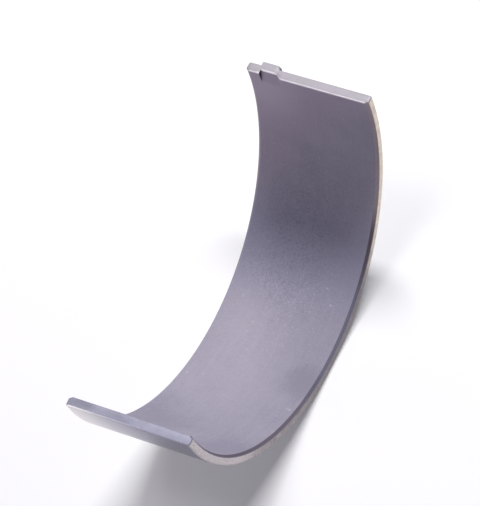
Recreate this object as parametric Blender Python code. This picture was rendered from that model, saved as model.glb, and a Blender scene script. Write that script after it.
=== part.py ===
"""Engine bearing shell: one half of a thin-walled plain bearing, bent from coated steel strip.

Metres, +Z up. The shell lies on its back like a cradle: the bearing's axis runs along Y, the
lowest line of the back is on z = 0, and the two parting faces look up, at -X and at +X. The
locating lug is at +X, near the +Y side.
"""

import math

import bmesh
import bpy
from mathutils import Vector

# The shell, as a strip bent to an arc
HOUSING_BORE = 0.0580  # bore that the shell is pressed into
FREE_SPREAD = 0.0020  # how much wider than that bore the back's circle is while the shell is free
WALL = 0.0015
WIDTH = 0.0206  # along the bearing's axis

# Its edges
CHAMFER_ALONG = 0.0005  # of both side edges of the running surface, measured along the axis
CHAMFER_DEPTH = 0.00035  # of the same, measured into the wall
OUTER_BREAK = 0.0003  # on both side edges of the back
PARTING_BREAK = 0.00012  # round both parting faces

# The locating lug: a tongue of the wall, sheared free on one side and pressed outwards
LUG_INSET = 0.0020  # from the shell's side to the lug's sheared side
LUG_WIDTH = 0.0034  # on the back
LUG_HEIGHT = 0.0007  # how far it stands out of the back
LUG_LENGTH = 0.0032  # from the parting face to where its ramp runs out
LUG_LEAN = 0.0005  # run of its bent side
LUG_CORNER = 0.0004  # bevel where its bent side meets the parting face
LUG_SETBACK = 0.00004  # behind the parting face, so that two shells meet on their faces

# The hollow that the tongue leaves in the running surface
HOLLOW_INSET = 0.0023  # from the shell's side to the hollow's sheared side
HOLLOW_WIDTH = 0.0035  # at the running surface
HOLLOW_DEPTH = 0.00068
HOLLOW_LENGTH = 0.0020
HOLLOW_LEAN = 0.0009

BEND_ROUND = 0.00018  # radius along the tongue's bent side

# Fineness of the round surfaces
ARC_STEPS = 131  # odd, so that a facet lies flat under the middle of the back
RAMP_STEPS = 5
ROUND_STEPS = 3
CUT_OVERRUN = 0.0006  # how far the cutter stands out of the surfaces that it cuts
SHARP_ANGLE = math.radians(25)

# What follows from these sizes
OUTER_RADIUS = (HOUSING_BORE + FREE_SPREAD) / 2
INNER_RADIUS = OUTER_RADIUS - WALL
HALF_ANGLE = math.pi / 2 * HOUSING_BORE / (2 * OUTER_RADIUS)  # pressed in, the back fills half the bore

STEEL_COLOUR = (0.265, 0.250, 0.300, 1.0)  # linear
STEEL_ROUGHNESS = 0.42
STEEL_METALLIC = 0.75


def clear_scene():
    for obj in list(bpy.data.objects):
        bpy.data.objects.remove(obj, do_unlink=True)


def make_collection(name):
    collection = bpy.data.collections.new(name)
    bpy.context.scene.collection.children.link(collection)
    return collection


def make_material(name, colour, roughness, metallic):
    material = bpy.data.materials.new(name)
    material.use_nodes = True
    material.diffuse_color = colour
    shader = material.node_tree.nodes["Principled BSDF"]
    shader.inputs["Base Color"].default_value = colour
    shader.inputs["Roughness"].default_value = roughness
    shader.inputs["Metallic"].default_value = metallic
    return material


def make_object(name, bm, collection):
    bmesh.ops.recalc_face_normals(bm, faces=bm.faces)
    mesh = bpy.data.meshes.new(name)
    bm.to_mesh(mesh)
    bm.free()
    obj = bpy.data.objects.new(name, mesh)
    collection.objects.link(obj)
    return obj


def on_arc(angle, radius, y):
    """The point at an angle from straight down, towards +X, about the bearing's axis."""
    return Vector((radius * math.sin(angle), y, OUTER_RADIUS - radius * math.cos(angle)))


def strip_section():
    """The strip's cross-section as (y, radius): the +Y half, then its mirror image."""
    half = [
        (WIDTH / 2 - OUTER_BREAK, OUTER_RADIUS),
        (WIDTH / 2, OUTER_RADIUS - OUTER_BREAK),
        (WIDTH / 2, INNER_RADIUS + CHAMFER_DEPTH),
        (WIDTH / 2 - CHAMFER_ALONG, INNER_RADIUS),
    ]
    return half + [(-y, radius) for y, radius in reversed(half)]


def make_bent_strip(name, collection):
    """The section spun about the axis from one parting face to the other."""
    bm = bmesh.new()
    section = [bm.verts.new(on_arc(-HALF_ANGLE, radius, y)) for y, radius in strip_section()]
    start = bm.faces.new(section)
    bmesh.ops.spin(
        bm,
        geom=[start, *start.edges, *start.verts],
        cent=(0.0, 0.0, OUTER_RADIUS),
        axis=(0.0, -1.0, 0.0),
        angle=2 * HALF_ANGLE,
        steps=ARC_STEPS,
    )
    parting_faces = [face for face in bm.faces if len(face.verts) == len(section)]
    bmesh.ops.bevel(
        bm,
        geom=[edge for face in parting_faces for edge in face.edges],
        offset=PARTING_BREAK,
        offset_type="OFFSET",
        segments=1,
        profile=0.5,
        affect="EDGES",
        clamp_overlap=True,
    )
    return make_object(name, bm, collection)


def rounded(corner, before, after):
    """The points that round a corner of a section, from the side of before to that of after."""
    corner, before, after = (Vector(point) for point in (corner, before, after))
    cut = min(BEND_ROUND, (before - corner).length / 3, (after - corner).length / 3)
    first = corner + (before - corner).normalized() * cut
    last = corner + (after - corner).normalized() * cut
    shares = [step / ROUND_STEPS for step in range(ROUND_STEPS + 1)]
    return [first.lerp(corner, t).lerp(corner.lerp(last, t), t) for t in shares]


def make_tongue(name, collection, surface, inset, width, height, length, lean, bevel, start, sunk):
    """A wedge along the arc, as the pressed tongue has on the back and leaves in the bore.

    It stands out by height from the cylinder of radius surface, falls to it at length behind the
    parting face, and reaches sunk inside it. Its sheared side lies across the axis, inset from the
    shell's side. Its bent side leans in by lean over the height and is rounded along its top. At the
    start it stands back by bevel, and it comes out to its full place over the same length.
    """
    end = length * (1 + sunk / (2 * height))
    sheared_side = WIDTH / 2 - inset
    bm = bmesh.new()
    ribs = []
    stations = {start + (end - start) * step / RAMP_STEPS for step in range(RAMP_STEPS + 1)}
    for back in sorted(stations | {start + bevel}):
        angle = HALF_ANGLE - back / OUTER_RADIUS
        rise = height * (1 - back / length)
        bent_side = sheared_side - width + max(0.0, start + bevel - back)
        top_sheared = (surface + rise, sheared_side)
        top_bent = (surface + rise, bent_side + lean * rise / height)
        low_bent = (surface - sunk, bent_side - lean * sunk / height)
        low_sheared = (surface - sunk, sheared_side)
        section = [low_sheared, top_sheared, *rounded(top_bent, top_sheared, low_bent), low_bent]
        ribs.append([bm.verts.new(on_arc(angle, radius, y)) for radius, y in section])
    bm.faces.new(ribs[0])
    bm.faces.new(ribs[-1])
    for near, far in zip(ribs, ribs[1:]):
        for corner in range(len(near)):
            bm.faces.new((near[corner - 1], near[corner], far[corner], far[corner - 1]))
    return make_object(name, bm, collection)


def add_boolean(target, tool, operation):
    modifier = target.modifiers.new(tool.name, "BOOLEAN")
    modifier.operation = operation
    modifier.solver = "EXACT"
    modifier.object = tool
    tool.hide_render = True
    tool.display_type = "WIRE"


def apply_modifiers(obj):
    graph = bpy.context.evaluated_depsgraph_get()
    obj.data = bpy.data.meshes.new_from_object(obj.evaluated_get(graph))
    obj.modifiers.clear()


def make_bearing_shell(parts, tools):
    shell = make_bent_strip("bearing_shell", parts)
    lug = make_tongue(
        "lug_form",
        tools,
        surface=OUTER_RADIUS,
        inset=LUG_INSET,
        width=LUG_WIDTH,
        height=LUG_HEIGHT,
        length=LUG_LENGTH,
        lean=LUG_LEAN,
        bevel=LUG_CORNER,
        start=LUG_SETBACK,
        sunk=WALL / 2,
    )
    hollow = make_tongue(
        "hollow_cutter",
        tools,
        surface=INNER_RADIUS,
        inset=HOLLOW_INSET,
        width=HOLLOW_WIDTH,
        height=HOLLOW_DEPTH,
        length=HOLLOW_LENGTH,
        lean=HOLLOW_LEAN,
        bevel=0.0,
        start=-CUT_OVERRUN,
        sunk=CUT_OVERRUN,
    )
    add_boolean(shell, lug, "UNION")
    add_boolean(shell, hollow, "DIFFERENCE")
    apply_modifiers(shell)
    shell.data.shade_smooth()
    shell.data.set_sharp_from_angle(angle=SHARP_ANGLE)
    shell.data.materials.clear()
    shell.data.materials.append(
        make_material("coated_steel", STEEL_COLOUR, STEEL_ROUGHNESS, STEEL_METALLIC)
    )
    return shell


clear_scene()
make_bearing_shell(make_collection("engine_bearing_shell"), make_collection("forming_tools"))
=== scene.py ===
import math

import bmesh
import bpy
from mathutils import Matrix, Vector


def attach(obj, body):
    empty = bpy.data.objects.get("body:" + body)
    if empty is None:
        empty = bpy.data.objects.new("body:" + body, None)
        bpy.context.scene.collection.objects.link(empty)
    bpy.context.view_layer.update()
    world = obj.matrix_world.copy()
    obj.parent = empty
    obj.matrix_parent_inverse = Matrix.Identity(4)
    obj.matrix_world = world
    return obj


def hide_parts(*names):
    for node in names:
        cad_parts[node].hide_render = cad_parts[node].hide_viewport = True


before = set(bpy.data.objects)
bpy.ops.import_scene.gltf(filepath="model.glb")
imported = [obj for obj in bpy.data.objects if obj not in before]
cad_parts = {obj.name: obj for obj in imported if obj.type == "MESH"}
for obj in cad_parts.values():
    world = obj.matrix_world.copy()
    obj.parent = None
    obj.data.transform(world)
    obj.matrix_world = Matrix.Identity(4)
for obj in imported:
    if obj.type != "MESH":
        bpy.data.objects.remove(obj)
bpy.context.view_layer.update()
print("stage: frame loaded")

# Sizes are in metres. The shell lies on its back on z = 0, its axis along Y, its lug at +X.
shellSizes = {
    "outerRadius": 0.030,
    "wall": 0.0015,
    "width": 0.0206,
    "halfAngle": math.radians(87.0),
    "chamferAlong": 0.0005,  # of the inner side edges, along the axis
    "chamferDepth": 0.00035,  # of the same, into the wall
    "outerRound": 0.0003,  # along the back's side edges
    "outerSteps": 6,
    "edgeRound": 0.00019,  # of the chamfers' own edges
    "edgeSteps": 2,
    "partingRound": 0.00017,  # round both parting faces
    "partingSteps": 3,
    "arcStep": 0.00040,  # between rings of the mesh
    "acrossStep": 0.00060,  # between lines along the arc
    "sideStep": 0.00030,  # between lines on the side edges
    "fineStep": 0.00010,  # between rings and lines where the tongue is pressed
    "fineRings": 4,  # how many of them come before its ramp
    "fineLines": 3,  # and beside its bend
    "sharpAngle": math.radians(38.0),
    "backInset": 0.0000025,  # keeps the round back inside the CAD node's flat facets
}

tongueSizes = {
    "lugSide": 0.0083,  # y of its sheared side
    "lugWidth": 0.0034,
    "lugHeight": 0.00069,
    "lugLength": 0.0032,
    "lugLean": 0.0005,  # run of its bent side
    "lugCorner": 0.0004,  # bevel where its bent side meets the parting face
    "hollowSide": 0.0080,
    "hollowWidth": 0.0035,
    "hollowDepth": 0.00068,
    "hollowLength": 0.0020,
    "hollowLean": 0.0009,
    "softness": 0.00012,  # of the bends
    "shear": 0.000008,  # half the width that the sheared sides take up in plan
}

stripEnd = shellSizes["outerRadius"] * shellSizes["halfAngle"]  # half the strip's length

zones = {
    "back": 0,
    "side": 1,
    "chamfer": 2,
    "running": 3,
    "lugEnd": 4,
    "plainEnd": 5,
    "rim": 6,  # the running surface's edge at the lug's end
    "sheared": 7,  # the hollow's sheared wall
    "torn": 8,  # the lug's sheared side
}


def fillet(before, corner, after, radius, steps):
    # points that round a corner of the section with an arc of that radius
    before, corner, after = Vector(before), Vector(corner), Vector(after)
    toBefore = (before - corner).normalized()
    toAfter = (after - corner).normalized()
    turn = math.pi - toBefore.angle(toAfter)
    cut = radius * math.tan(turn / 2)
    centre = corner + (toBefore + toAfter).normalized() * radius / math.cos(turn / 2)
    first = corner + toBefore * cut - centre
    last = corner + toAfter * cut - centre
    rays = [first.slerp(last, step / steps) for step in range(steps + 1)]
    return [tuple(centre + ray.normalized() * radius) for ray in rays]


def spread(start, end, step):
    # values between start and end, without the two, about step apart
    count = max(1, round(abs(end - start) / step))
    return [start + (end - start) * k / count for k in range(1, count)]


def acrossLines(form):
    # y of the lines along the arc, close together where the lug or the hollow bends and shears
    side, width, lean = (tongueSizes[form + size] for size in ("Side", "Width", "Lean"))
    half = shellSizes["width"] / 2
    shear = tongueSizes["shear"]
    fine = shellSizes["fineStep"]
    margin = shellSizes["fineLines"] * fine
    foot = side - width - margin
    shoulder = side - width + lean + margin
    step = shellSizes["acrossStep"]
    return (
        spread(-half, foot, step)
        + [foot]
        + spread(foot, shoulder, fine)
        + [shoulder]
        + spread(shoulder, side - shear, step / 2)
        + [side - shear, side + shear]
        + spread(side + shear, half, step / 2)
    )


def sideOutline():
    # from the back round the +Y side edge and its chamfer to the running surface: points and zones
    half, wall = shellSizes["width"] / 2, shellSizes["wall"]
    backCorner = (half, 0.0)
    lipCorner = (half, wall - shellSizes["chamferDepth"])
    boreCorner = (half - shellSizes["chamferAlong"], wall)
    small, smallSteps = shellSizes["edgeRound"], shellSizes["edgeSteps"]
    back = fillet((0.0, 0.0), backCorner, lipCorner, shellSizes["outerRound"], shellSizes["outerSteps"])
    flat = [(half, z) for z in spread(back[-1][1], lipCorner[1] - small, shellSizes["sideStep"])]
    lip = fillet(backCorner, lipCorner, boreCorner, small, smallSteps)
    edge = fillet(lipCorner, boreCorner, (0.0, wall), small, smallSteps)
    middle = tuple((Vector(lip[-1]) + Vector(edge[0])) / 2)
    outline = [(point, "side") for point in (*back, *flat, lip[0])]
    outline += [(point, "chamfer") for point in (*lip[1:], middle, edge[0])]
    outline += [(point, "running") for point in edge[1:]]
    return outline


def stripSection():
    # the strip's outline across the arc, as (y, depth below the back, zone of the face that follows)
    side = sideOutline()
    backLimit, boreLimit = side[0][0][0], side[-1][0][0]
    backLines = [y for y in acrossLines("lug") if abs(y) < backLimit]
    boreLines = [y for y in acrossLines("hollow") if abs(y) < boreLimit]
    section = [(y, 0.0, "back") for y in backLines]
    section += [(y, z, zone) for (y, z), zone in side]
    section += [(y, shellSizes["wall"], "running") for y in reversed(boreLines)]
    following = ["back"] + [zone for _, zone in side[:-1]]  # on the mirrored side, walked backwards
    for ((y, z), _), zone in zip(reversed(side), reversed(following)):
        section.append((-y, z, zone))
    return section


def ringPlaces():
    # (place along the strip, inset of the section) of each ring, from the plain end to the lug's
    edge, steps = shellSizes["partingRound"], shellSizes["partingSteps"]
    turns = [math.radians(90.0 * step / steps) for step in range(steps + 1)]
    rounding = [(stripEnd - edge + edge * math.sin(turn), edge * (1 - math.cos(turn))) for turn in turns]
    flatEnd = rounding[0][0]
    fine = shellSizes["fineStep"]
    fineStart = stripEnd - tongueSizes["lugLength"] - shellSizes["fineRings"] * fine
    places = [(-x, inset) for x, inset in reversed(rounding)]
    places += [(x, 0.0) for x in spread(-flatEnd, fineStart, shellSizes["arcStep"])]
    places += [(fineStart, 0.0)]
    places += [(x, 0.0) for x in spread(fineStart, flatEnd, fine)]
    return places + rounding


def zoneAt(section, k, x):
    # the zone of the face that follows point k of the section, at place x along the strip
    y, _, zone = section[k]
    low, high = sorted((y, section[(k + 1) % len(section)][0]))
    for face, form, wall in (("back", "lug", "torn"), ("running", "hollow", "sheared")):
        if zone == face and low < tongueSizes[form + "Side"] < high:
            if x > stripEnd - tongueSizes[form + "Length"]:
                return wall
    if abs(x) < stripEnd - shellSizes["partingRound"] or zone == "chamfer":
        return zone
    if x < 0.0:
        return "back" if zone == "back" else "plainEnd"
    return "rim" if zone == "running" else "lugEnd"


def makeBlank():
    # the flat blank: the section along the strip, one ring for each place
    section = stripSection()
    count = len(section)
    outline = [Vector((y, z)) for y, z, _ in section]
    inwards = []
    for k in range(count):
        chord = outline[(k + 1) % count] - outline[k - 1]
        inwards.append(Vector((-chord.y, chord.x)).normalized())
    bm = bmesh.new()
    zoneLayer = bm.faces.layers.int.new("zone")
    rings = []
    for x, inset in ringPlaces():
        points = [point + inward * inset for point, inward in zip(outline, inwards)]
        rings.append([bm.verts.new((x, y, z)) for y, z in points])
    for ring, following in zip(rings, rings[1:]):
        middle = (ring[0].co.x + following[0].co.x) / 2
        for k in range(count):
            other = (k + 1) % count
            face = bm.faces.new((ring[k], following[k], following[other], ring[other]))
            face[zoneLayer] = zones[zoneAt(section, k, middle)]
            face.smooth = True
    for ring, zone in ((rings[0], "plainEnd"), (rings[-1], "lugEnd")):
        cap = bm.faces.new(ring)
        cap[zoneLayer] = zones[zone]
    bmesh.ops.recalc_face_normals(bm, faces=bm.faces)
    mesh = bpy.data.meshes.new("shellBlank")
    bm.to_mesh(mesh)
    bm.free()
    blank = bpy.data.objects.new("shellBody", mesh)
    bpy.context.scene.collection.objects.link(blank)
    return blank


class Wire:
    # a socket of a node tree, with the operators that add Math nodes

    def __init__(self, tree, socket=None):
        self.tree, self.socket = tree, socket

    def node(self, kind, settings=None, inputs=None, output=0):
        # a new node with its settings and the values or links of its sockets; its output's wire
        made = self.tree.nodes.new(kind)
        for name, value in (settings or {}).items():
            setattr(made, name, value)
        for name, value in (inputs or {}).items():
            if isinstance(value, Wire):
                self.tree.links.new(value.socket, made.inputs[name])
            else:
                made.inputs[name].default_value = value
        return Wire(self.tree, made.outputs[output] if made.outputs else None)

    def outputs(self):
        # wires of all the outputs that this socket's node has
        return {socket.name: Wire(self.tree, socket) for socket in self.socket.node.outputs}

    def math(self, operation, *values):
        return self.node("ShaderNodeMath", {"operation": operation}, dict(enumerate(values)))

    def __add__(self, other):
        return self.math("ADD", self, other)

    def __radd__(self, other):
        return self.math("ADD", other, self)

    def __sub__(self, other):
        return self.math("SUBTRACT", self, other)

    def __rsub__(self, other):
        return self.math("SUBTRACT", other, self)

    def __mul__(self, other):
        return self.math("MULTIPLY", self, other)

    def __rmul__(self, other):
        return self.math("MULTIPLY", other, self)

    def __truediv__(self, other):
        return self.math("DIVIDE", self, other)

    def __rtruediv__(self, other):
        return self.math("DIVIDE", other, self)

    def __pow__(self, other):
        return self.math("POWER", self, other)

    def __lt__(self, other):
        return self.math("LESS_THAN", self, other)

    def __gt__(self, other):
        return self.math("GREATER_THAN", self, other)

    def __abs__(self):
        return self.math("ABSOLUTE", self)

    def least(self, other, softness):
        return self.math("SMOOTH_MIN", self, other, softness)

    def most(self, other, softness=0.0):
        if softness:
            return self.math("SMOOTH_MAX", self, other, softness)
        return self.math("MAXIMUM", self, other)

    def step(self, low, high):
        # 0 below low, 1 above high, smooth between
        return self.node(
            "ShaderNodeMapRange",
            {"interpolation_type": "SMOOTHSTEP"},
            {"Value": self, "From Min": low, "From Max": high, "To Min": 0.0, "To Max": 1.0},
        )

    def window(self, rise, fall):
        # comes in over the range rise and goes out over the range fall
        return self.step(*rise) - self.step(*fall)


def makeFormingTree(finishes):
    # presses the tongue out of the flat blank, then bends the blank to its arc
    tree = bpy.data.node_groups.new("formShell", "GeometryNodeTree")
    inputs = {
        "Outer Radius": shellSizes["outerRadius"],
        "Half Angle": shellSizes["halfAngle"],
        "Wall": shellSizes["wall"],
        "Back Inset": shellSizes["backInset"],
        "Lug Side": tongueSizes["lugSide"],
        "Lug Width": tongueSizes["lugWidth"],
        "Lug Height": tongueSizes["lugHeight"],
        "Lug Length": tongueSizes["lugLength"],
        "Lug Lean": tongueSizes["lugLean"],
        "Lug Corner": tongueSizes["lugCorner"],
        "Hollow Side": tongueSizes["hollowSide"],
        "Hollow Width": tongueSizes["hollowWidth"],
        "Hollow Depth": tongueSizes["hollowDepth"],
        "Hollow Length": tongueSizes["hollowLength"],
        "Hollow Lean": tongueSizes["hollowLean"],
        "Softness": tongueSizes["softness"],
    }
    tree.interface.new_socket("Geometry", in_out="INPUT", socket_type="NodeSocketGeometry")
    for name in inputs:
        tree.interface.new_socket(name, in_out="INPUT", socket_type="NodeSocketFloat")
    tree.interface.new_socket("Geometry", in_out="OUTPUT", socket_type="NodeSocketGeometry")
    start = Wire(tree)
    given = start.node("NodeGroupInput").outputs()

    place = start.node("GeometryNodeInputPosition")
    x, y, z = start.node("ShaderNodeSeparateXYZ", inputs={0: place}).outputs().values()
    behind = given["Outer Radius"] * given["Half Angle"] - x  # distance from the lug's parting face

    def pressed(form, height, corner):
        # how far the lug or the hollow stands out of the flat strip
        ramp = height * (1.0 - behind / given[form + " Length"])
        foot = given[form + " Side"] - given[form + " Width"] + (corner - behind).most(0.0)
        flank = (y - foot) * (height / given[form + " Lean"])
        bent = ramp.least(flank, given["Softness"])
        return bent.most(0.0, given["Softness"] * 0.5) * (y < given[form + " Side"])

    lug = pressed("Lug", given["Lug Height"], given["Lug Corner"])
    hollow = pressed("Hollow", given["Hollow Depth"], 0.0)
    share = z / given["Wall"]  # 0 on the back, 1 on the running surface
    depth = z - lug * (1.0 - share) - hollow * share

    angle = x / given["Outer Radius"]
    radius = given["Outer Radius"] - given["Back Inset"] - depth
    bent = start.node(
        "ShaderNodeCombineXYZ",
        inputs={
            0: radius * angle.math("SINE", angle),
            1: y,
            2: given["Outer Radius"] - radius * angle.math("COSINE", angle),
        },
    )
    formed = start.node(
        "GeometryNodeSetPosition",
        inputs={"Geometry": given["Geometry"], "Position": bent},
    )
    formed = start.node("GeometryNodeRealizeInstances", inputs={"Geometry": formed})
    zone = start.node("GeometryNodeInputNamedAttribute", {"data_type": "INT"}, {"Name": "zone"})
    for name, material in finishes.items():
        chosen = start.node(
            "FunctionNodeCompare",
            {"data_type": "INT", "operation": "EQUAL"},
            {"A": zone, "B": zones[name]},
        )
        formed = start.node(
            "GeometryNodeSetMaterial",
            inputs={"Geometry": formed, "Selection": chosen, "Material": material},
        )
    start.node("NodeGroupOutput", inputs={"Geometry": formed})
    return tree, inputs


def splitCaps(mesh):
    # the two end faces, of many corners each, in neat triangles
    bm = bmesh.new()
    bm.from_mesh(mesh)
    caps = [face for face in bm.faces if len(face.verts) > 4]
    bmesh.ops.triangulate(bm, faces=caps, ngon_method="BEAUTY")
    bm.to_mesh(mesh)
    bm.free()


def applyTree(obj, tree, inputs):
    modifier = obj.modifiers.new(tree.name, "NODES")
    modifier.node_group = tree
    for item in tree.interface.items_tree:
        if item.in_out == "INPUT" and item.name in inputs:
            modifier[item.identifier] = inputs[item.name]
    graph = bpy.context.evaluated_depsgraph_get()
    mesh = bpy.data.meshes.new_from_object(obj.evaluated_get(graph))
    obj.modifiers.remove(modifier)
    splitCaps(mesh)
    mesh.set_sharp_from_angle(angle=shellSizes["sharpAngle"])
    obj.data = mesh


def makeMaterial(name, paint, layOver=None):
    # paint gives the sockets of the main shader, and layOver may mix another one over it
    material = bpy.data.materials.new(name)
    material.use_nodes = True
    material.node_tree.nodes.clear()
    start = Wire(material.node_tree)
    surface = start.node("ShaderNodeBsdfPrincipled", inputs=paint(start))
    if layOver:
        surface = layOver(surface)
    start.node("ShaderNodeOutputMaterial", inputs={"Surface": surface})
    return material


def unrolled(start):
    # the strip laid flat again, in mm: place on the arc, place across it, distance from the axis
    place = start.node("ShaderNodeTexCoord", output="Object")
    x, y, z = start.node("ShaderNodeSeparateXYZ", inputs={0: place}).outputs().values()
    drop = shellSizes["outerRadius"] - z
    radius = (x * x + drop * drop) ** 0.5
    arc = x.math("ARCTAN2", x, drop) * shellSizes["outerRadius"]
    return arc * 1000.0, y * 1000.0, radius * 1000.0


def flatPattern(start, arc, across, radius):
    return start.node("ShaderNodeCombineXYZ", inputs={0: arc, 1: across, 2: radius})


def noise(start, place, scale, detail=2.0, roughness=0.5):
    return start.node(
        "ShaderNodeTexNoise",
        {"noise_dimensions": "3D"},
        {"Vector": place, "Scale": scale, "Detail": detail, "Roughness": roughness},
    )


def mixColour(start, factor, first, second):
    return start.node(
        "ShaderNodeMix",
        {"data_type": "RGBA"},
        {0: factor, 6: first, 7: second},
        output=2,
    )


# The coat's places and lengths are in mm, and its patterns are counted per mm. Places are on the
# arc from the middle of the back towards the lug, and across it from the middle of the width.
# A tone is a place between dark and light, and a share is how strong a colour comes in.
coat = {
    "dark": (0.254, 0.241, 0.305, 1.0),
    "light": (0.402, 0.374, 0.448, 1.0),
    "plainTone": 0.31,
    # place on the arc, place across it, where it has faded to half, stretch along the arc, and
    # how much paler it makes the coat, or darker below 0; the pale ones are painted light and the dark
    # ones painted shade
    "patches": {
        # painted light, in this patch and the next
        "paintedLightPool": (-6.0, 4.0, 9.0, 1.2, 0.47),
        "paintedLightAside": (4.5, 8.0, 4.0, 1.5, 0.35),
        "speckedAndLit": (6.0, 0.0, 6.0, 1.2, 0.2),  # paler with painted light, and strewn with pale specks
        "pittedAndShaded": (17.0, 1.3, 6.0, 1.5, -0.22),  # grainy and pitted, and darker with painted shade
        # painted shade, in this patch and the next three
        "paintedShadeAside": (-5.2, -8.2, 2.4, 1.0, -0.45),
        "paintedShadeBeside": (-0.5, -4.0, 3.2, 1.5, -0.2),
        "paintedShadeCorner": (-30.0, -8.5, 4.2, 1.2, -0.54),
        "paintedShadeEnd": (-26.0, 6.5, 5.0, 1.5, -0.38),
    },
    "patchWaver": 6.0,  # how far their edges wander
    "mottle": 0.16,
    "mottleTone": 0.45,
    "blotch": 0.55,
    "blotchTone": 0.2,
    "blotchMatt": 0.3,  # what the pitted and shaded patch adds to that
    "speckle": 4.2,
    "speckleTone": 0.85,
    "speckleMatt": 0.9,
    "streak": (0.06, 3.5),  # along the arc and across it
    "streakTone": 0.25,
    "gloss": 0.12,
    "roughness": 0.60,
    "roughnessMottle": 0.12,
    "bumpHeight": 0.000014,
    "bumpStrength": 0.5,
}

# What only the running surface has
bore = {
    "cool": (0.253, 0.257, 0.372, 1.0),  # bluer between the middle and the lug's end
    "coolWhere": ((3.0, 13.0), (19.0, 27.0)),
    "coolShare": 0.36,
    "pitted": (0.15, 0.145, 0.185, 1.0),
    "pits": 3.0,
    "pitsFrom": (0.53, 0.66),  # levels of the pattern between which it counts
    "pitsShare": 0.4,
    "flushAndLight": (0.415, 0.345, 0.45, 1.0),  # warmer and paler towards the lug's end: the coat's hue and painted light
    "flushFrom": (26.5, 50.5),
    "flushSlant": 1.1,  # how much earlier it starts for each mm across
    "flushWaver": 14.0,
    "flushShare": 0.75,
    "flushGrain": 0.6,
    "hollowFrom": (28.6, 29.1),  # distance from the axis over which the hollow's floor turns pale
    "hollowShare": 0.5,
    "bare": (0.66, 0.62, 0.72, 1.0),  # what shows where the coat is worn through, and the colour of the painted light beside the lug
    "specks": 3.2,
    "specksFrom": (0.6, 0.72),
    "specksShare": 0.03,
    "specksPatch": 0.16,  # what the specked and lit patch adds to that
    "nicks": 1.3,
    "nicksAcross": 0.65,  # how much their pattern is widened across the arc
    "nicksFrom": (0.69, 0.73),
    "nicksOver": 0.52,  # only where the blotches pass this level
    "nicksShare": 0.3,
    "paintedGlowBesideLug": (42.0, 9.0, 4.5, 1.0),  # painted light beside the lug, written as the others are
    "paintedGlowShare": 0.26,
}

# What only the chamfers have: painted shade and painted light, as shades that multiply the coat's
# colours
chamfer = {
    "nearPaintedShade": (0.42, 0.375, 0.40),  # painted shade at -Y
    "middlePaintedShade": (0.42, 0.435, 0.49),  # painted shade at -Y in the middle of the arc, lighter and bluer
    "middleWhere": ((-11.0, -4.0), (10.0, 16.0)),
    "farShade": (1.0, 1.0, 1.0),  # at +Y
    "highPaintedLight": (1.35, 1.2, 1.08),  # painted light on both towards the lug's end
    "highFrom": (20.0, 27.0),
    "paintedLightWhere": ((-22.0, -4.0), (9.0, 16.0)),  # where the one at -Y is paler with painted light
    "paintedLightBelow": (-46.0, -36.0),  # and it is so again below this
    "paintedLightAmount": 0.5,
    "lip": (10.17, 10.26),  # how far across the painted highlight on the outer lip starts, and where it is full
    "lipHighlightShare": 0.45,
}


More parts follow.
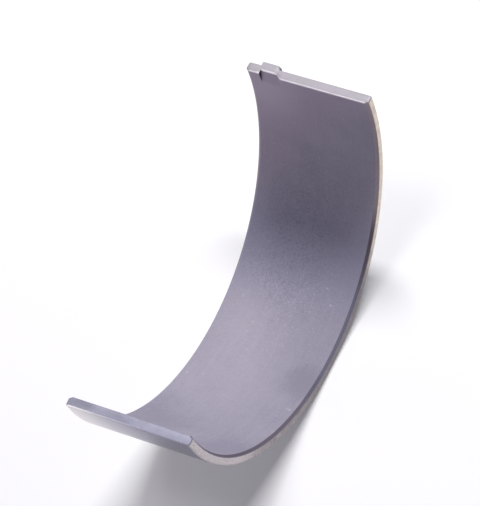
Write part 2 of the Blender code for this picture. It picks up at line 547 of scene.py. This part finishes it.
def paintCoat(start, onChamfer):
    # the overlay of the running surface and the chamfers
    arc, across, radius = unrolled(start)
    place = flatPattern(start, arc, across, radius)
    mottle = noise(start, place, coat["mottle"], 3.0)
    blotch = noise(start, place, coat["blotch"])
    speckle = noise(start, place, coat["speckle"], 2.0, 0.65)
    streakArc, streakAcross = coat["streak"]
    streak = noise(start, flatPattern(start, arc * streakArc, across * streakAcross, radius), 1.0)

    def patch(patchArc, patchAcross, reach, stretch):
        # 1 in the middle of a patch, 0 far from it
        along = (arc - patchArc) * (1.0 / stretch)
        aside = across - patchAcross
        apart = (along * along + aside * aside) ** 0.5
        return 1.0 - (apart + (mottle - 0.5) * coat["patchWaver"]).step(0.0, reach * 2.0)

    tone = coat["plainTone"] + (mottle - 0.5) * coat["mottleTone"] + (streak - 0.5) * coat["streakTone"]
    patches = {}
    for name, (*where, paler) in coat["patches"].items():
        patches[name] = patch(*where)
        tone = tone + patches[name] * paler
    tone = tone + (blotch - 0.5) * (coat["blotchTone"] + patches["pittedAndShaded"] * coat["blotchMatt"])
    tone = tone + (speckle - 0.5) * (coat["speckleTone"] + patches["pittedAndShaded"] * coat["speckleMatt"])

    def shaded(tone, shade=(1.0, 1.0, 1.0)):
        dark, light = (
            (*(part * by for part, by in zip(coat[name], shade)), 1.0) for name in ("dark", "light")
        )
        return mixColour(start, tone, dark, light)

    def chamferColour():
        # painted light and painted shade on the chamfers, and a painted highlight on the outer lip
        pale = arc.window(*chamfer["paintedLightWhere"]) + 1.0 - arc.step(*chamfer["paintedLightBelow"])
        paled = tone + pale * chamfer["paintedLightAmount"] * (across < 0.0)
        near = mixColour(
            start,
            arc.window(*chamfer["middleWhere"]),
            shaded(paled, chamfer["nearPaintedShade"]),
            shaded(paled, chamfer["middlePaintedShade"]),
        )
        low = mixColour(start, across > 0.0, near, shaded(paled, chamfer["farShade"]))
        high = shaded(paled, chamfer["highPaintedLight"])
        colour = mixColour(start, arc.step(*chamfer["highFrom"]), low, high)
        lip = abs(across).step(*chamfer["lip"])
        return mixColour(start, lip * chamfer["lipHighlightShare"], colour, coat["light"])

    def boreColour():
        cool = arc.window(*bore["coolWhere"]) * bore["coolShare"]
        colour = mixColour(start, cool, shaded(tone), bore["cool"])
        pits = noise(start, place, bore["pits"], 1.0).step(*bore["pitsFrom"]) * patches["pittedAndShaded"]
        colour = mixColour(start, pits * bore["pitsShare"], colour, bore["pitted"])
        # warmer hue and painted light towards the lug's end
        slanted = arc + across * bore["flushSlant"] + (mottle - 0.5) * bore["flushWaver"]
        flushAndLight = slanted.step(*bore["flushFrom"])
        flushAndLight = flushAndLight * (bore["flushShare"] + (speckle - 0.5) * bore["flushGrain"])
        colour = mixColour(start, flushAndLight, colour, bore["flushAndLight"])
        hollow = radius.step(*bore["hollowFrom"]) * bore["hollowShare"]
        colour = mixColour(start, hollow, colour, coat["light"])
        specks = noise(start, place, bore["specks"], 1.0).step(*bore["specksFrom"])
        specks = specks * (bore["specksShare"] + patches["speckedAndLit"] * bore["specksPatch"])
        widened = flatPattern(start, arc, across * bore["nicksAcross"], radius)
        nicks = noise(start, widened, bore["nicks"]).step(*bore["nicksFrom"])
        nicks = nicks * (blotch > bore["nicksOver"]) * bore["nicksShare"]
        # the coat worn through at specks and nicks, and painted light beside the lug
        wearAndPaintedGlow = specks.most(nicks).most(patch(*bore["paintedGlowBesideLug"]) * bore["paintedGlowShare"])
        return mixColour(start, wearAndPaintedGlow, colour, bore["bare"])

    bump = start.node(
        "ShaderNodeBump",
        inputs={"Strength": coat["bumpStrength"], "Distance": coat["bumpHeight"], "Height": speckle},
    )
    return {
        "Base Color": chamferColour() if onChamfer else boreColour(),
        "Specular IOR Level": coat["gloss"],
        "Roughness": coat["roughness"] + (mottle - 0.5) * coat["roughnessMottle"],
        "Normal": bump,
    }


# Bare and thinly coated steel, per zone: lines is how dense the tool's marks are along the arc
# and across it, mottle how dense the patches are, and high holds the two colours at the lug's end, paler
# there with painted reflection.
steels = {
    "back": {
        "dark": (0.37, 0.355, 0.41, 1.0),
        "light": (0.55, 0.53, 0.59, 1.0),
        "metallic": 1.0,
        "roughness": 0.30,
        "lines": (0.3, 6.0),
        "mottle": 0.3,
    },
    "side": {
        "dark": (0.17, 0.15, 0.16, 1.0),
        "light": (0.47, 0.425, 0.43, 1.0),
        "metallic": 0.6,
        "roughness": 0.42,
        "lines": (2.5, 2.5),
        "mottle": 1.2,
        # pale and warm at the lug's end: the steel's hue and painted reflection
        "high": ((0.52, 0.45, 0.38, 1.0), (0.92, 0.82, 0.68, 1.0)),
    },
    "lugEnd": {
        "dark": (0.22, 0.21, 0.225, 1.0),
        "light": (0.315, 0.295, 0.335, 1.0),
        "metallic": 0.6,
        "roughness": 0.58,
        "lines": (4.0, 0.4),
        "mottle": 0.5,
    },
    "plainEnd": {
        "dark": (0.17, 0.165, 0.22, 1.0),
        "light": (0.30, 0.295, 0.375, 1.0),
        "metallic": 0.4,
        "roughness": 0.40,
        "lines": (4.0, 0.4),
        "mottle": 0.4,
    },
    "rim": {
        "dark": (0.46, 0.43, 0.47, 1.0),
        "light": (0.62, 0.58, 0.63, 1.0),
        "metallic": 0.7,
        "roughness": 0.35,
        "lines": (4.0, 0.4),
        "mottle": 0.8,
    },
    # near black: painted shade on the hollow's sheared wall
    "sheared": {
        "dark": (0.025, 0.018, 0.024, 1.0),
        "light": (0.06, 0.045, 0.055, 1.0),
        "metallic": 0.2,
        "roughness": 0.6,
        "lines": (3.0, 3.0),
        "mottle": 2.0,
    },
    "torn": {
        "dark": (0.17, 0.16, 0.18, 1.0),
        "light": (0.46, 0.44, 0.47, 1.0),
        "metallic": 0.8,
        "roughness": 0.45,
        "lines": (3.0, 3.0),
        "mottle": 3.0,
    },
}

# What all the steels share
steelGrain = {
    "mottleTone": 1.1,
    "linesTone": 0.5,
    "fine": 5.0,
    "fineTone": 0.4,
    "roughnessMottle": 0.2,
    "highFrom": (10.0, 24.0),  # places on the arc between which the high colours come in
    "highWaver": 8.0,
    "bumpHeight": 0.00001,
    "bumpStrength": 0.35,
    "bumpLines": 0.6,
    "bumpFine": 0.4,
}


def steelFinish(dark, light, metallic, roughness, lines, mottle, high=None):
    def paint(start):
        arc, across, radius = unrolled(start)
        place = flatPattern(start, arc, across, radius)
        patchy = noise(start, place, mottle, 3.0, 0.6)
        linesArc, linesAcross = lines
        marks = flatPattern(start, arc * linesArc, across * linesAcross, radius)
        marks = noise(start, marks, 1.0, 3.0, 0.6)
        fine = noise(start, place, steelGrain["fine"])
        tone = 0.5 + (patchy - 0.5) * steelGrain["mottleTone"] + (marks - 0.5) * steelGrain["linesTone"]
        tone = tone + (fine - 0.5) * steelGrain["fineTone"]
        colour = mixColour(start, tone, dark, light)
        if high:
            wavering = arc + (patchy - 0.5) * steelGrain["highWaver"]
            far = mixColour(start, tone, *high)
            colour = mixColour(start, wavering.step(*steelGrain["highFrom"]), colour, far)
        bump = start.node(
            "ShaderNodeBump",
            inputs={
                "Strength": steelGrain["bumpStrength"],
                "Distance": steelGrain["bumpHeight"],
                "Height": marks * steelGrain["bumpLines"] + fine * steelGrain["bumpFine"],
            },
        )
        return {
            "Base Color": colour,
            "Metallic": metallic,
            "Roughness": roughness + (patchy - 0.5) * steelGrain["roughnessMottle"],
            "Normal": bump,
        }

    return paint


backPolishAndPaintedLight = {
    "polishedAndLit": (0.76, 0.72, 0.72, 1.0),  # paler by the plain end at +Y: polish and painted reflection
    "polishedAndLitAcross": (2.0, 11.0),
    "polishedAndLitUpTo": (-40.0, -24.0),
    "polishedAndLitShare": 0.8,
    "paintedDarkReflection": (0.175, 0.172, 0.262, 1.0),  # darker and bluer at -Y: painted reflection of the shadowed floor
    "paintedDarkReflectionAcross": (-6.0, 10.0),
    "paintedDarkReflectionShare": 0.7,
    "paintedCreaseShade": (0.03, 0.027, 0.03, 1.0),  # painted shade along the foot of the lug's bent side
    "paintedCreaseShadePlace": 5.1,  # across the arc
    "paintedCreaseShadeWidth": (0.1, 0.5),
    "paintedCreaseShadeLength": (0.3, 1.7),  # from the parting face
    "paintedCreaseShadeHeight": (29.7, 29.9),  # distance from the axis
    "paintedCreaseShadeShare": 0.9,
}


def paintBack(start):
    painted = steelFinish(**steels["back"])(start)
    arc, across, radius = unrolled(start)
    # polish and painted reflection by the plain end at +Y
    polishedAndLit = across.step(*backPolishAndPaintedLight["polishedAndLitAcross"]) * (1.0 - arc.step(*backPolishAndPaintedLight["polishedAndLitUpTo"]))
    polishedAndLit = polishedAndLit * backPolishAndPaintedLight["polishedAndLitShare"]
    colour = mixColour(start, polishedAndLit, painted["Base Color"], backPolishAndPaintedLight["polishedAndLit"])
    # painted reflection of shade at -Y
    paintedDarkReflection = (1.0 - across.step(*backPolishAndPaintedLight["paintedDarkReflectionAcross"])) * backPolishAndPaintedLight["paintedDarkReflectionShare"]
    colour = mixColour(start, paintedDarkReflection, colour, backPolishAndPaintedLight["paintedDarkReflection"])
    # painted shade in the crease at the lug's foot
    beside = 1.0 - abs(across - backPolishAndPaintedLight["paintedCreaseShadePlace"]).step(*backPolishAndPaintedLight["paintedCreaseShadeWidth"])
    behind = 1.0 - (stripEnd * 1000.0 - arc).step(*backPolishAndPaintedLight["paintedCreaseShadeLength"])
    paintedCreaseShade = beside * behind * radius.step(*backPolishAndPaintedLight["paintedCreaseShadeHeight"]) * backPolishAndPaintedLight["paintedCreaseShadeShare"]
    return {**painted, "Base Color": mixColour(start, paintedCreaseShade, colour, backPolishAndPaintedLight["paintedCreaseShade"])}


sideWearAndShade = {
    # painted shade in the middle of the arc
    "paintedShadeWhere": ((-16.0, 0.0), (10.0, 20.0)),
    "paintedShadeShare": 0.55,
    "tip": (0.74, 0.68, 0.70, 1.0),  # pale and grainy at the plain end
    "tipUpTo": (-29.0, -20.0),
    "tipShare": 0.58,
    "tipGrain": 5.5,
    "tipGrainShare": 1.8,
}


def paintSide(start):
    # sawn steel, warm at the lug's end and grey below it, a change that is partly painted reflection;
    # painted shade darkens the middle of the arc
    painted = steelFinish(**steels["side"])(start)
    arc, across, radius = unrolled(start)
    paintedSideShade = arc.window(*sideWearAndShade["paintedShadeWhere"]) * sideWearAndShade["paintedShadeShare"]
    colour = mixColour(start, paintedSideShade, painted["Base Color"], steels["side"]["dark"])
    grain = noise(start, flatPattern(start, arc, across, radius), sideWearAndShade["tipGrain"], 2.0, 0.7)
    tip = 1.0 - arc.step(*sideWearAndShade["tipUpTo"])
    tip = tip * (sideWearAndShade["tipShare"] + (grain - 0.5) * sideWearAndShade["tipGrainShare"])
    return {**painted, "Base Color": mixColour(start, tip, colour, sideWearAndShade["tip"])}


finishes = {
    "back": makeMaterial("groundBack", paintBack),
    "side": makeMaterial("cutSide", paintSide),
    "chamfer": makeMaterial("coatedChamfer", lambda start: paintCoat(start, True)),
    "running": makeMaterial("coatedBore", lambda start: paintCoat(start, False)),
    "lugEnd": makeMaterial("milledEnd", steelFinish(**steels["lugEnd"])),
    "plainEnd": makeMaterial("coatedEnd", steelFinish(**steels["plainEnd"])),
    "rim": makeMaterial("bareRim", steelFinish(**steels["rim"])),
    "sheared": makeMaterial("shearedWall", steelFinish(**steels["sheared"])),
    "torn": makeMaterial("tornSteel", steelFinish(**steels["torn"])),
}
print("stage: finishes made")

shellBody = makeBlank()
applyTree(shellBody, *makeFormingTree(finishes))
print("stage: shell formed,", len(shellBody.data.polygons), "faces")

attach(shellBody, "root")
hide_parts("bearing_shell")

studio = {
    "floorSize": 3.0,  # from its middle to its edges
    "floorColour": (0.96, 0.96, 0.965, 1.0),
    "floorRoughness": 0.6,
    "floorGlow": 0.15,  # share of plain white in what the camera and shiny metal see of the floor
    "white": (1.0, 1.0, 1.0, 1.0),  # which is also what they see of the world
    "worldLight": (0.055, 0.048, 0.072, 1.0),
    "lampsAim": (0.0, 0.0, 0.012),
    "lampsAway": 0.55,
}

lamps = {
    "key": {
        "from": (0.570, 0.0, 0.822),
        "size": (0.30, 0.09),
        "power": 2.85,
        "colour": (0.995, 0.99, 1.0),
    },
    "fill": {
        "from": (-0.06, 0.20, 0.978),
        "size": (0.20, 0.20),
        "power": 0.64,
        "colour": (0.97, 0.97, 1.0),
    },
    "low": {
        "from": (-0.69, 0.60, 0.40),
        "size": (0.40, 0.20),
        "power": 0.38,
        "colour": (1.0, 0.93, 1.0),
    },
}


def sightRay(start):
    # 1 for rays from the camera and for those that metal and glass send on, 0 for light's own
    rays = start.node("ShaderNodeLightPath").outputs()
    return rays["Is Camera Ray"].most(rays["Is Glossy Ray"]).most(rays["Is Transmission Ray"])


def glowing(lit):
    # the lit floor with its share of white
    white = lit.node("ShaderNodeEmission", inputs={"Color": studio["white"], "Strength": 1.0})
    share = sightRay(lit) * studio["floorGlow"]
    return lit.node("ShaderNodeMixShader", inputs={0: share, 1: lit, 2: white})


def paintFloor(start):
    return {"Base Color": studio["floorColour"], "Roughness": studio["floorRoughness"]}


def makeFloor():
    mesh = bpy.data.meshes.new("floor")
    half = studio["floorSize"]
    corners = [(-half, -half, 0.0), (half, -half, 0.0), (half, half, 0.0), (-half, half, 0.0)]
    mesh.from_pydata(corners, [], [(0, 1, 2, 3)])
    floor = bpy.data.objects.new("floor", mesh)
    bpy.context.scene.collection.objects.link(floor)
    mesh.materials.append(makeMaterial("paleFloor", paintFloor, glowing))
    return floor


def makeWorld():
    world = bpy.data.worlds.new("studio")
    bpy.context.scene.world = world
    world.use_nodes = True
    world.node_tree.nodes.clear()
    start = Wire(world.node_tree)
    colour = mixColour(start, sightRay(start), studio["worldLight"], studio["white"])
    background = start.node("ShaderNodeBackground", inputs={"Color": colour, "Strength": 1.0})
    start.node("ShaderNodeOutputWorld", inputs={"Surface": background})


def makeLamp(name, lamp):
    data = bpy.data.lights.new(name, "AREA")
    data.shape = "RECTANGLE"
    data.size, data.size_y = lamp["size"]
    data.energy = lamp["power"]
    data.color = lamp["colour"]
    obj = bpy.data.objects.new(name, data)
    bpy.context.scene.collection.objects.link(obj)
    direction = Vector(lamp["from"]).normalized()
    obj.location = Vector(studio["lampsAim"]) + direction * studio["lampsAway"]
    obj.rotation_euler = direction.to_track_quat("Z", "Y").to_euler()


view = {
    "aim": (0.00029, -0.00314, 0.02841),
    "away": 0.6157,
    "elevation": math.radians(55.229),
    "heading": math.radians(-128.659),  # of the camera, seen from the aim, from +X towards +Y
    "lean": math.radians(-28.836),
    "lens": 307.25,
}


def makeCamera():
    data = bpy.data.cameras.new("camera")
    data.lens = view["lens"]
    camera = bpy.data.objects.new("camera", data)
    bpy.context.scene.collection.objects.link(camera)
    flat = math.cos(view["elevation"])
    towards = Vector(
        (
            flat * math.cos(view["heading"]),
            flat * math.sin(view["heading"]),
            math.sin(view["elevation"]),
        )
    )
    turn = towards.to_track_quat("Z", "Y").to_matrix() @ Matrix.Rotation(view["lean"], 3, "Z")
    place = Vector(view["aim"]) + towards * view["away"]
    camera.matrix_world = Matrix.Translation(place) @ turn.to_4x4()
    bpy.context.scene.camera = camera


makeFloor()
makeWorld()
for lampName, lamp in lamps.items():
    makeLamp(lampName, lamp)
makeCamera()
bpy.context.scene.view_settings.view_transform = "Standard"
print("stage: studio set")
